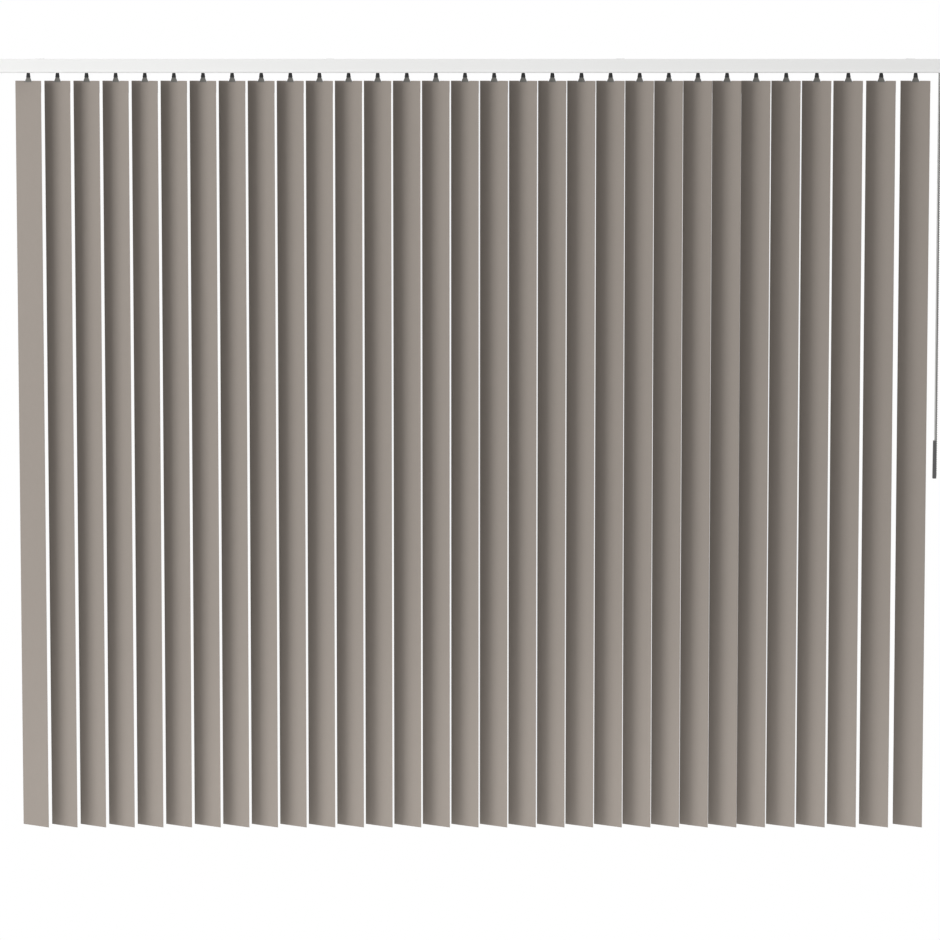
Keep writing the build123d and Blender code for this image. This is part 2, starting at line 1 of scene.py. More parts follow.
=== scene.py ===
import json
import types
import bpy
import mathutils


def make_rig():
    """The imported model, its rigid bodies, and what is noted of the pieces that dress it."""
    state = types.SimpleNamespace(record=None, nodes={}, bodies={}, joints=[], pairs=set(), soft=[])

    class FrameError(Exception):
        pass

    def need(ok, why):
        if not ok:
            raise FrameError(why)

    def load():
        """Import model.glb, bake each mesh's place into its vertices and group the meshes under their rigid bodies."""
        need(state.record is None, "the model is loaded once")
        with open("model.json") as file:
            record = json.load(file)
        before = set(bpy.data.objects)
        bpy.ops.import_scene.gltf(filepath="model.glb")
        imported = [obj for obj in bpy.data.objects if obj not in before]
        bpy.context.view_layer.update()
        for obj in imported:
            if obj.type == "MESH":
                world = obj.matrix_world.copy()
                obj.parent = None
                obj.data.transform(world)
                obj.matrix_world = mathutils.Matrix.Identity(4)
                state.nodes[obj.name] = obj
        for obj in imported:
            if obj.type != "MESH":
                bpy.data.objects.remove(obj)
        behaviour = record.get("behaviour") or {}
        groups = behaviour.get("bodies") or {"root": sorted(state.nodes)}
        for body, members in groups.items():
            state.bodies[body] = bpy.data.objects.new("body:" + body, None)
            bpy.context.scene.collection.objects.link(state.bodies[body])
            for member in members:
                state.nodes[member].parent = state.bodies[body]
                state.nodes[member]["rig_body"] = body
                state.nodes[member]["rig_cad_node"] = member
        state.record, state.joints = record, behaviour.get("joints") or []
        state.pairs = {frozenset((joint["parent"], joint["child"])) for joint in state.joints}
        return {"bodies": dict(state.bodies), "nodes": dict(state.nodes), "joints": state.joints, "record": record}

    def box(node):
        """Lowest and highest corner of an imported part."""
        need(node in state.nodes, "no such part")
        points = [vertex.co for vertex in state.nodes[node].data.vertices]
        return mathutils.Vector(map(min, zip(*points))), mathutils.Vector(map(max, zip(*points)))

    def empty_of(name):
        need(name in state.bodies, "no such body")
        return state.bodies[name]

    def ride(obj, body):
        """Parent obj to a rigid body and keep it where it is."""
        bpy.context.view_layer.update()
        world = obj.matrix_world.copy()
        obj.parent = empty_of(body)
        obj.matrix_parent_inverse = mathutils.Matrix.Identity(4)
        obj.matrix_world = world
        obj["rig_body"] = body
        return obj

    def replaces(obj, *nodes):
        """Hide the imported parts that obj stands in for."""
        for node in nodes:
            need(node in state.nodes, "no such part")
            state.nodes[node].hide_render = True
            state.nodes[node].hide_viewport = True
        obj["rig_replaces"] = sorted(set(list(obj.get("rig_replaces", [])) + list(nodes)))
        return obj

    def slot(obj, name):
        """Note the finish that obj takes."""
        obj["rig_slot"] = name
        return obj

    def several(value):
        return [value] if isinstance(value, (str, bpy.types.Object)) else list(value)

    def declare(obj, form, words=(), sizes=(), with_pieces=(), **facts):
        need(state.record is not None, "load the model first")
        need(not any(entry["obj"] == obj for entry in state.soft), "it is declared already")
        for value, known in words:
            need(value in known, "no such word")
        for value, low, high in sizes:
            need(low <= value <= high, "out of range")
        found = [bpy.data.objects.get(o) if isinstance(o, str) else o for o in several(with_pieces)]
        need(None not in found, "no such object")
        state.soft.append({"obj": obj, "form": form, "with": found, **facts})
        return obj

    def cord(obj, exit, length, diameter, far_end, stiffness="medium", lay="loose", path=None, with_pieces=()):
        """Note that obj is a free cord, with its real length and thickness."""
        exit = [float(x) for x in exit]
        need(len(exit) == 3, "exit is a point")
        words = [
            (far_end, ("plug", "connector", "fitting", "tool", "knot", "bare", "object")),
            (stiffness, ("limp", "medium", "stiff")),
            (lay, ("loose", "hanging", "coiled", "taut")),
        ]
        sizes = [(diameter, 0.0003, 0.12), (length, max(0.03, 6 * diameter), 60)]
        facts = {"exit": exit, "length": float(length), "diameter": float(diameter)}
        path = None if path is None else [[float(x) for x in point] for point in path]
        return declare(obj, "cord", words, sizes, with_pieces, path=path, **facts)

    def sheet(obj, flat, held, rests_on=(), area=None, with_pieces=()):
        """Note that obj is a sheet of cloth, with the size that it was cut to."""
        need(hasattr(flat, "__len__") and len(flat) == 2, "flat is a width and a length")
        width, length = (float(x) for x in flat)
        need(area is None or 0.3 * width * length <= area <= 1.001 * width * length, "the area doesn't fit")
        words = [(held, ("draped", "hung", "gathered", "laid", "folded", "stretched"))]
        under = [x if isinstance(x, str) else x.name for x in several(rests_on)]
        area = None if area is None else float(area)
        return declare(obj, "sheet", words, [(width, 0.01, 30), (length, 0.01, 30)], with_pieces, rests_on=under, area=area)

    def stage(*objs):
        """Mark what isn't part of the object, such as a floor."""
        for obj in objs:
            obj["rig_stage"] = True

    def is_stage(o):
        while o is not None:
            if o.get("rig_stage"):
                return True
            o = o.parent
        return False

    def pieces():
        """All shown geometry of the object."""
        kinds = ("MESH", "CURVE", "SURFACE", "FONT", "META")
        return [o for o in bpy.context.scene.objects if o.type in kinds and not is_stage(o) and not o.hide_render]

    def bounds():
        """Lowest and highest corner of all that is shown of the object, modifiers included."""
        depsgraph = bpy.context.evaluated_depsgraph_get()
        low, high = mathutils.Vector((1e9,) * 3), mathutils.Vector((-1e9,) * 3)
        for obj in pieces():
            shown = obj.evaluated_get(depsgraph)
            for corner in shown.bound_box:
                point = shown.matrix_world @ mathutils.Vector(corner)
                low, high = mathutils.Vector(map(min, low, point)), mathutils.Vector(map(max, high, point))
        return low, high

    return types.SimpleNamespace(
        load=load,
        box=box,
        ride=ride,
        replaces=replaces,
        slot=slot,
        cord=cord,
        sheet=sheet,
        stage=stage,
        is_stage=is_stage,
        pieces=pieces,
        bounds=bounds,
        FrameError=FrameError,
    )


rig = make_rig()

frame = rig.load()
CAD_BOX = [list(corner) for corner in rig.bounds()]

import json
import logging
import math
from dataclasses import dataclass, field
from enum import Enum
from typing import Callable, Iterable, Sequence

import bpy
import numpy as np

# A vertical blind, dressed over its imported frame. Metres, in the part's own frame: X along the
# rail, -Y towards the room, +Z up, the origin on the ceiling plane. Each class holds one
# sub-assembly.

Array = np.ndarray
Route = list[tuple[float, float, float]]
NODES = frame["nodes"]
BODIES = frame["record"]["behaviour"]["bodies"]
BODY_OF = {node: body for body, nodes in BODIES.items() for node in nodes}
FULL_TURN = 2 * np.pi
TINY = 1e-6
logging.basicConfig(level=logging.INFO, format="%(message)s")
log = logging.getLogger("vertical_blind")


# Shader expressions


class Wire:
    """A number socket that arithmetic can be written on."""

    def __init__(self, maker: "Maker", socket: bpy.types.NodeSocket) -> None:
        """Wraps an output socket of the maker's tree."""
        self.maker = maker
        self.socket = socket

    def _math(self, operation: str, *values: "float | Wire") -> "Wire":
        """One Math node's operation on the values."""
        return self.maker.node("ShaderNodeMath", {"operation": operation}, dict(enumerate(values)))

    def __add__(self, other: "float | Wire") -> "Wire":
        """Self plus other."""
        return self._math("ADD", self, other)

    def __radd__(self, other: float) -> "Wire":
        """Other plus self."""
        return self._math("ADD", other, self)

    def __sub__(self, other: "float | Wire") -> "Wire":
        """Self less other."""
        return self._math("SUBTRACT", self, other)

    def __rsub__(self, other: float) -> "Wire":
        """Other less self."""
        return self._math("SUBTRACT", other, self)

    def __mul__(self, other: "float | Wire") -> "Wire":
        """Self times other."""
        return self._math("MULTIPLY", self, other)

    def __rmul__(self, other: float) -> "Wire":
        """Other times self."""
        return self._math("MULTIPLY", other, self)

    def sine(self) -> "Wire":
        """The sine of self."""
        return self._math("SINE", self)

    def larger(self, other: "float | Wire") -> "Wire":
        """The larger of self and other."""
        return self._math("MAXIMUM", self, other)

    def clamped(self) -> "Wire":
        """Self held between 0 and 1."""
        return self.maker.node("ShaderNodeClamp", {}, {"Value": self})


class Maker:
    """Makes the nodes of one material, or of a world."""

    def __init__(self, name: str, tree: bpy.types.NodeTree | None = None) -> None:
        """Starts an empty node tree.

        Args:
            name: the new material's name.
            tree: a world's tree, which is used instead of a new material's.
        """
        if tree is None:
            self.material = bpy.data.materials.new(name)
            self.material.use_nodes = True
            tree = self.material.node_tree
        self.tree = tree
        self.tree.nodes.clear()

    def node(self, kind: str, settings: dict, inputs: dict, output: "int | str" = 0) -> Wire:
        """Makes any node: its settings first, then the values or links of its sockets.

        Args:
            kind: the node's type.
            settings: attribute values, such as a Math node's operation.
            inputs: from a socket's name or number to a value or a Wire.
            output: the socket that is returned.

        Returns:
            The chosen output.
        """
        made = self.tree.nodes.new(kind)
        for key, value in settings.items():
            setattr(made, key, value)
        for key, value in inputs.items():
            socket = made.inputs[key]
            if isinstance(value, Wire):
                self.tree.links.new(value.socket, socket)
            else:
                socket.default_value = value
        return Wire(self, made.outputs[output])

    def axis(self, at: Wire, letter: str) -> Wire:
        """One of a vector's three numbers."""
        return self.node("ShaderNodeSeparateXYZ", {}, {"Vector": at}, output=letter)

    def mix(self, share: "float | Wire", a: object, b: object) -> Wire:
        """Mixes two colours, the Mix node's sockets 6 and 7, into its output 2.

        Args:
            share: 0 for a, 1 for b.
            a: a colour or a wire that carries one.
            b: the same.

        Returns:
            The mixed colour.
        """
        inputs = {0: share, 6: colour_of(a), 7: colour_of(b)}
        return self.node("ShaderNodeMix", {"data_type": "RGBA"}, inputs, output=2)

    def place(self, scale: Sequence[float] = (1, 1, 1), surface: bool = False) -> Wire:
        """Scaled coordinates on the piece: its UV map's, or else the object's own."""
        start = self.node("ShaderNodeTexCoord", {}, {}, output="UV" if surface else "Object")
        return self.node("ShaderNodeMapping", {}, {"Vector": start, "Scale": tuple(scale)})

    def noise(self, at: Wire, rate: float, detail: float = 2.0, rough: float = 0.55) -> Wire:
        """Smooth noise about 0.5, with so many features in a metre."""
        inputs = {"Vector": at, "Scale": rate, "Detail": detail, "Roughness": rough}
        return self.node("ShaderNodeTexNoise", {}, inputs)

    def bump(self, height: Wire, depth: float, strength: float) -> Wire:
        """The normal of a surface that rises by a height of 0 to 1 times a depth in metres."""
        inputs = {"Height": height, "Distance": depth, "Strength": strength}
        return self.node("ShaderNodeBump", {}, inputs)

    def surface(self, **sockets: object) -> bpy.types.Material:
        """Ends the tree in a Principled shader.

        Args:
            sockets: its inputs, with underscores for the spaces in their names.

        Returns:
            The material.
        """
        inputs = {key.replace("_", " "): colour_of(value) for key, value in sockets.items()}
        self.finish("ShaderNodeOutputMaterial", self.node("ShaderNodeBsdfPrincipled", {}, inputs))
        return self.material

    def finish(self, kind: str, shader: Wire) -> None:
        """Ends the tree in an output node of this kind, which puts out the shader."""
        end = self.tree.nodes.new(kind)
        self.tree.links.new(shader.socket, end.inputs["Surface"])

    def seen_as(self, kind: str, light: Wire, white: Wire) -> None:
        """Ends the tree in a mix that gives light one way and shows the camera another.

        Args:
            kind: the output node's type.
            light: the shader that lights the blind.
            white: the shader that the camera sees.
        """
        looked_at = self.node("ShaderNodeLightPath", {}, {}, output="Is Camera Ray")
        both = self.node("ShaderNodeMixShader", {}, {0: looked_at, 1: light, 2: white})
        self.finish(kind, both)


def colour_of(value: object) -> object:
    """Makes four numbers of three, and leaves anything else as it is.

    Args:
        value: a colour, a number or a wire.

    Returns:
        What a socket takes.
    """
    if isinstance(value, (tuple, list)) and len(value) == 3:
        return (*value, 1.0)
    return value


# Finishes


class Colour(Enum):
    """The blind's own colours, as linear red, green and blue; dark taupe is also painted weave shade."""

    RAIL_WHITE = (0.70, 0.70, 0.695)
    MOULDED_WHITE = (0.70, 0.70, 0.685)
    TAUPE = (0.262, 0.232, 0.206)
    # darker taupe: the cloth's own slubs and clouds, and also painted shade in the weave's valleys
    TAUPE_DARK = (0.205, 0.180, 0.158)
    HANGER_GREY = (0.125, 0.122, 0.112)
    NEAR_BLACK = (0.012, 0.012, 0.013)
    SLATE = (0.075, 0.075, 0.078)
    CORD_WHITE = (0.60, 0.60, 0.59)
    BEAD_GREY = (0.26, 0.258, 0.252)
    MILL = (0.66, 0.665, 0.675)
    STEEL = (0.52, 0.52, 0.53)

    def dimmed(self, shares: Sequence[float]) -> tuple[float, ...]:
        """The colour with each of its numbers cut to a share."""
        return tuple(level * share for level, share in zip(self.value, shares))


@dataclass(frozen=True)
class PowderCoat:
    """Smooth powder coat with a faint orange peel."""

    name: str
    colour: Colour
    roughness: float = 0.38
    spread: float = 0.1
    peel_rate: float = 420.0
    peel_depth: float = 0.00004
    bump: float = 0.5
    cloud_rate: float = 3.0
    dull: tuple[float, ...] = (0.985, 0.985, 0.98)

    def build(self) -> bpy.types.Material:
        """A fine noise is the peel, in bump and roughness, and a slow one clouds the colour.

        Returns:
            The material.
        """
        make = Maker(self.name)
        at = make.place()
        peel = make.noise(at, self.peel_rate)
        cloud = make.noise(at, self.cloud_rate)
        return make.surface(
            Base_Color=make.mix(cloud, self.colour.dimmed(self.dull), self.colour.value),
            Roughness=self.roughness - self.spread / 2 + self.spread * peel,
            Normal=make.bump(peel, self.peel_depth, self.bump),
        )


@dataclass(frozen=True)
class Moulding:
    """Moulded plastic with a fine spark-eroded grain."""

    name: str
    colour: Colour
    roughness: float = 0.45
    shine: float = 0.5
    spread: float = 0.12
    grain_rate: float = 1600.0
    grain_depth: float = 0.00003
    bump: float = 0.5
    flow_rate: float = 28.0
    dull: tuple[float, ...] = (0.93, 0.93, 0.93)

    def build(self) -> bpy.types.Material:
        """A fine noise is the grain, and a slow one is the plastic's flow, in colour and roughness.

        Returns:
            The material.
        """
        make = Maker(self.name)
        at = make.place()
        grain = make.noise(at, self.grain_rate)
        flow = make.noise(at, self.flow_rate)
        return make.surface(
            Base_Color=make.mix(flow, self.colour.dimmed(self.dull), self.colour.value),
            Roughness=self.roughness - self.spread / 2 + self.spread * flow,
            Specular_IOR_Level=self.shine,
            Normal=make.bump(grain, self.grain_depth, self.bump),
        )


@dataclass(frozen=True)
class DrawnMetal:
    """Metal drawn or rolled along X, with fine lines that way."""

    name: str
    colour: Colour
    roughness: float = 0.32
    dip: float = 0.06
    spread: float = 0.16
    stretch: tuple[float, ...] = (0.02, 1, 1)
    line_rate: float = 2600.0
    line_depth: float = 0.00002
    bump: float = 0.4
    patch_rate: float = 14.0
    dull: tuple[float, ...] = (0.86, 0.86, 0.87)

    def build(self) -> bpy.types.Material:
        """A noise drawn out along X is the lines, and a slow one is patches in the colour.

        Returns:
            The material.
        """
        make = Maker(self.name)
        lines = make.noise(make.place(self.stretch), self.line_rate)
        patches = make.noise(make.place(), self.patch_rate)
        return make.surface(
            Base_Color=make.mix(patches, self.colour.dimmed(self.dull), self.colour.value),
            Metallic=1.0,
            Roughness=self.roughness - self.dip + self.spread * lines,
            Normal=make.bump(lines, self.line_depth, self.bump),
        )


@dataclass(frozen=True)
class StiffWeave:
    """A stiffened plain weave, read from the slat's own UV map in metres across and along."""

    name: str
    colour: Colour
    # the darker tone: the cloth's own slubs and clouds, and painted shade in the weave's valleys
    shade: Colour
    threads: float = 1500.0
    wave: float = 0.25
    thread_depth: float = 0.00012
    bump: float = 0.55
    warp_stretch: tuple[float, ...] = (1, 0.02, 1)
    warp_rate: float = 2200.0
    weft_stretch: tuple[float, ...] = (0.03, 1, 1)
    weft_rate: float = 1900.0
    slub_gain: float = 2.2
    cloud_rate: float = 9.0
    cloud_detail: float = 3.0
    # shares in the colour of slubs, of painted valley shade from the height, and of clouds
    shares: tuple[float, ...] = (0.5, 0.3, 0.2)
    roughness: float = 0.82
    spread: float = 0.1
    shine: float = 0.3
    sheen: float = 0.08
    sheen_roughness: float = 0.5

    def build(self) -> bpy.types.Material:
        """The weave's height is the larger of two sine ridges, one for each way of the threads,
        each strengthened and weakened in turn by the other's half-rate wave. Slubs are noise drawn
        out along each thread's way. The colour mixes slubs, height and clouds by their shares: the
        slubs and clouds are the cloth's own uneven tone, and the height's share is painted shade
        that darkens the valleys between the threads.

        Returns:
            The material.
        """
        make = Maker(self.name)
        at = make.place(surface=True)
        across, along = make.axis(at, "X"), make.axis(at, "Y")
        rate = self.threads * math.pi
        warp = (across * rate).sine()
        weft = (along * rate).sine()
        over = (across * (rate / 2)).sine() * (along * (rate / 2)).sine()
        wave = self.wave
        height = (0.5 + wave * warp + wave * over).larger(0.5 + wave * weft - wave * over)
        warp_slub = make.noise(make.place(self.warp_stretch, surface=True), self.warp_rate)
        weft_slub = make.noise(make.place(self.weft_stretch, surface=True), self.weft_rate)
        slub = (warp_slub * 0.5 + weft_slub * 0.5 - 0.5) * self.slub_gain + 0.5
        cloud = make.noise(at, self.cloud_rate, detail=self.cloud_detail)
        # Painted shade: the height's share darkens the valleys between the threads; slubs and clouds are the cloth's
        # own uneven tone.
        slubs, valley_shade_share, clouds = self.shares
        slub_cloud_and_valley_shade = (slubs * slub + valley_shade_share * height + clouds * cloud).clamped()
        return make.surface(
            Base_Color=make.mix(slub_cloud_and_valley_shade, self.shade.value, self.colour.value),
            Roughness=self.roughness + self.spread * cloud,
            Specular_IOR_Level=self.shine,
            Sheen_Weight=self.sheen,
            Sheen_Roughness=self.sheen_roughness,
            Normal=make.bump(height, self.thread_depth, self.bump),
        )


@dataclass(frozen=True)
class Braid:
    """A braided cord, read from the cord's own UV map: round it, and along it in metres."""

    name: str
    colour: Colour
    strands: int = 8
    plaits: float = 620.0
    plait_depth: float = 0.00012
    bump: float = 0.6
    roughness: float = 0.7
    spread: float = 0.1
    # shares of the colour in the braid's grooves, which is painted shade
    dull: tuple[float, ...] = (0.72, 0.72, 0.7)

    def build(self) -> bpy.types.Material:
        """The braid is two crossing spirals of sine ridges, the larger of which shows. The grooves
        between the ridges take the dimmed colour, as painted shade.

        Returns:
            The material.
        """
        make = Maker(self.name)
        at = make.place(surface=True)
        around, along = make.axis(at, "X"), make.axis(at, "Y")
        left = (around * (self.strands * math.pi) + along * (self.plaits * math.pi)).sine()
        right = (around * (self.strands * math.pi) - along * (self.plaits * math.pi)).sine()
        ridge = 0.5 + 0.5 * left.larger(right)
        # Painted shade: the grooves between the ridges take the dimmed colour.
        return make.surface(
            Base_Color=make.mix(ridge, self.colour.dimmed(self.dull), self.colour.value),
            Roughness=self.roughness + self.spread * ridge,
            Normal=make.bump(ridge, self.plait_depth, self.bump),
        )


@dataclass(frozen=True)
class PaleFloor:
    """The plain pale floor below the blind: matt as a light, white where it is looked at."""

    name: str = "pale_floor"
    tone: float = 0.55

    def build(self) -> bpy.types.Material:
        """Mixes a matt shader for the light with a white glow for the camera.

        Returns:
            The material.
        """
        make = Maker(self.name)
        matt = make.node("ShaderNodeBsdfDiffuse", {}, {"Color": (*[self.tone] * 3, 1.0)})
        white = make.node("ShaderNodeEmission", {}, {"Color": (1, 1, 1, 1), "Strength": 1.0})
        make.seen_as("ShaderNodeOutputMaterial", matt, white)
        return make.material


class Finish(Enum):
    """Each finish on the blind, under the name of what it covers."""

    RAIL = PowderCoat("rail_powder_coat", Colour.RAIL_WHITE)
    BRACKET = PowderCoat("bracket_paint", Colour.RAIL_WHITE, roughness=0.45)
    WHITE_PLASTIC = Moulding("white_moulding", Colour.MOULDED_WHITE, roughness=0.4)
    BLACK_PLASTIC = Moulding("black_moulding", Colour.NEAR_BLACK, roughness=0.55, shine=0.25)
    SLATE_PLASTIC = Moulding("slate_moulding", Colour.SLATE, roughness=0.42)
    HANGER_PLASTIC = Moulding("hanger_moulding", Colour.HANGER_GREY, roughness=0.6, shine=0.25)
    BEADS = Moulding("bead_moulding", Colour.BEAD_GREY, roughness=0.35)
    BARE_ALUMINIUM = DrawnMetal("drawn_aluminium", Colour.MILL)
    STEEL = DrawnMetal("bright_steel", Colour.STEEL, roughness=0.28)
    SLAT = StiffWeave("slat_weave", Colour.TAUPE, Colour.TAUPE_DARK)
    CORD = Braid("cord_braid", Colour.CORD_WHITE)


class Wardrobe:
    """Builds each finish once and hands it out."""

    def __init__(self) -> None:
        """Starts with nothing built."""
        self._made: dict[Finish, bpy.types.Material] = {}

    def get(self, finish: Finish) -> bpy.types.Material:
        """Builds a finish when it is first asked for.

        Args:
            finish: which one.

        Returns:
            Its material.
        """
        if finish not in self._made:
            self._made[finish] = finish.value.build()
        return self._made[finish]

    def dress(self, piece: bpy.types.Object, finish: Finish) -> None:
        """Covers a mesh all over with one finish."""
        piece.data.materials.clear()
        piece.data.materials.append(self.get(finish))


# Surfaces


@dataclass
class Surface:
    """Points, quads and UVs that become one mesh."""

    points: Array
    quads: Array
    uvs: Array

    def moved(self, change: Callable[[Array], Array]) -> "Surface":
        """The surface with all its points changed at once."""
        return Surface(change(self.points), self.quads, self.uvs)

    @staticmethod
    def joined(parts: Iterable["Surface"]) -> "Surface":
        """Puts surfaces together, each one's quads counted on from the points before it.

        Args:
            parts: the surfaces.

        Returns:
            All of them as one.
        """
        parts = list(parts)
        starts = np.cumsum([0] + [len(p.points) for p in parts[:-1]])
        return Surface(
            np.concatenate([p.points for p in parts]),
            np.concatenate([p.quads + start for p, start in zip(parts, starts)]),
            np.concatenate([p.uvs for p in parts]),
        )

    def piece(self, name: str, body: str, smooth: bool = True) -> bpy.types.Object:
        """Makes the mesh and its object, which stays at the origin.

        Args:
            name: the piece's name.
            body: the CAD body that it rides on.
            smooth: whether it is shaded smooth.

        Returns:
            The new object.
        """
        mesh = bpy.data.meshes.new(name)
        count = len(self.quads)
        mesh.vertices.add(len(self.points))
        mesh.vertices.foreach_set("co", self.points.astype(np.float32).ravel())
        mesh.loops.add(4 * count)
        mesh.loops.foreach_set("vertex_index", self.quads.astype(np.int32).ravel())
        mesh.polygons.add(count)
        mesh.polygons.foreach_set("loop_start", np.arange(0, 4 * count, 4, dtype=np.int32))
        mesh.polygons.foreach_set("use_smooth", np.full(count, smooth))
        layer = mesh.uv_layers.new(name="surface")
        layer.data.foreach_set("uv", self.uvs[self.quads.ravel()].astype(np.float32).ravel())
        mesh.update(calc_edges=True)
        mesh.validate()
        piece = bpy.data.objects.new(name, mesh)
        bpy.context.scene.collection.objects.link(piece)
        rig.ride(piece, body)
        return piece


def grid_quads(rows: int, columns: int, closed: bool) -> Array:
    """Quads of a grid of points, counted row by row.

    Args:
        rows: how many rows of points.
        columns: how many points in a row.
        closed: whether the last column joins the first.

    Returns:
        Four indices for each quad, turning left seen from where columns x rows points.
    """
    across = columns if closed else columns - 1
    row, column = np.meshgrid(np.arange(rows - 1), np.arange(across), indexing="ij")
    following = (column + 1) % columns
    corners = (row * columns + column, row * columns + following,
               (row + 1) * columns + following, (row + 1) * columns + column)
    return np.stack(corners, axis=-1).reshape(-1, 4)


def together(*values: Array) -> Array:
    """Arrays that broadcast to one grid, side by side in a last axis."""
    return np.stack(np.broadcast_arrays(*values), axis=-1)


def swept(points: Array, closed: bool, uvs: Array) -> Surface:
    """Joins a grid of points into a surface.

    Args:
        points: rows by columns by three.
        closed: whether the last column joins the first.
        uvs: rows by columns by two.

    Returns:
        The surface.
    """
    rows, columns = points.shape[:2]
    quads = grid_quads(rows, columns, closed)
    return Surface(points.reshape(-1, 3), quads, uvs.reshape(-1, 2))


def ring_angles(sides: int) -> Array:
    """The angles of a ring's points, evenly round it."""
    return np.linspace(0, FULL_TURN, sides, endpoint=False)


def soft_square(sides: int, power: float) -> tuple[Array, Array]:
    """A closed loop between a circle and a square: the cosine and the sine of each angle, with
    their signs kept and their sizes raised to a power.

    Args:
        sides: points in the loop.
        power: 1 for a circle, towards 0 for a square.

    Returns:
        The loop's two coordinates, from -1 to 1.
    """
    turn = ring_angles(sides) + np.pi / sides
    loop = np.stack([np.cos(turn), np.sin(turn)])
    first, second = np.sign(loop) * np.abs(loop) ** power
    return first, second


def length_to(line: Array) -> Array:
    """The length along a line from its first point to each of its points."""
    steps = np.linalg.norm(np.diff(line, axis=0), axis=1)
    return np.concatenate([[0], np.cumsum(steps)])


def sides_along(line: Array) -> tuple[Array, Array]:
    """Two unit vectors square to a line at each point, turned as little as the bends ask: the first
    is carried from point to point by taking away its part along each new tangent, which needs the
    one before it, and the second is the tangent's cross product with it.

    Args:
        line: points by three.

    Returns:
        The first sides and the second sides.
    """
    tangent = np.gradient(line, axis=0)
    tangent /= np.linalg.norm(tangent, axis=1, keepdims=True)
    side = np.empty_like(tangent)
    start = np.eye(3)[np.argmin(np.abs(tangent[0]))]
    for i, along in enumerate(tangent):
        start = start - along * (start @ along)
        start /= np.linalg.norm(start)
        side[i] = start
    return side, np.cross(tangent, side)


def tube_along(line: Array, radius: Array, sides: int) -> Surface:
    """A round tube of changing radius: each ring is the line's point plus radius times the cosine
    and sine of the angle along the two side vectors.

    Args:
        line: points by three.
        radius: one for each point.
        sides: points in a ring.

    Returns:
        The surface.
    """
    first, second = sides_along(line)
    angle = ring_angles(sides)
    ring = first[:, None] * np.cos(angle)[:, None] + second[:, None] * np.sin(angle)[:, None]
    points = line[:, None] + ring * radius[:, None, None]
    return swept(points, True, together(angle[None] / FULL_TURN, length_to(line)[:, None]))


def lathe(profile: Array, sides: int) -> Surface:
    """A surface of revolution about Z: each (radius, height) goes round by cosine and sine.

    Args:
        profile: points by two, from the top down.
        sides: points in a ring.

    Returns:
        The surface.
    """
    angle = ring_angles(sides)
    radius, height = profile[:, :1], profile[:, 1:]
    points = together(radius * np.cos(angle), radius * np.sin(angle), height)
    uvs = together(angle[None] / FULL_TURN, height)
    return swept(points[::-1], True, uvs[::-1])


# The blind's own sizes, in metres


@dataclass(frozen=True)
class Sizes:
    """Places and sizes that the pieces share."""

    rest_angle: float = math.radians(35.6)
    vane_width: float = 0.089
    vane_drop: float = 1.979
    vane_top: float = -0.0580
    jaws_top: float = -0.0379
    rod_y: float = 0.0093
    rod_z: float = -0.0291


SIZES = Sizes()


def vane_names() -> list[str]:
    """The vane nodes in order."""
    return sorted(name for name in NODES if name.startswith("vane_"))


def vane_axis(name: str) -> float:
    """X of the axis of a vane's stem."""
    joint = next(j for j in frame["joints"] if j["child"] == name)
    return joint["pos_m"][0]


def shifted(x: float) -> Callable[[Array], Array]:
    """A function that moves points along the rail."""
    return lambda points: points + [x, 0, 0]


def to_vane(x: float) -> Callable[[Array], Array]:
    """The turn from a vane's own frame, flat along X, to its rest angle about its stem.

    Args:
        x: the stem's place.

    Returns:
        A function that turns and moves points.
    """
    cos, sin = math.cos(-SIZES.rest_angle), math.sin(-SIZES.rest_angle)

    def change(points: Array) -> Array:
        """Turns the points, and moves them along the rail."""
        px, py, pz = points.T
        return shifted(x)(np.stack([px * cos - py * sin, px * sin + py * cos, pz], axis=1))

    return change


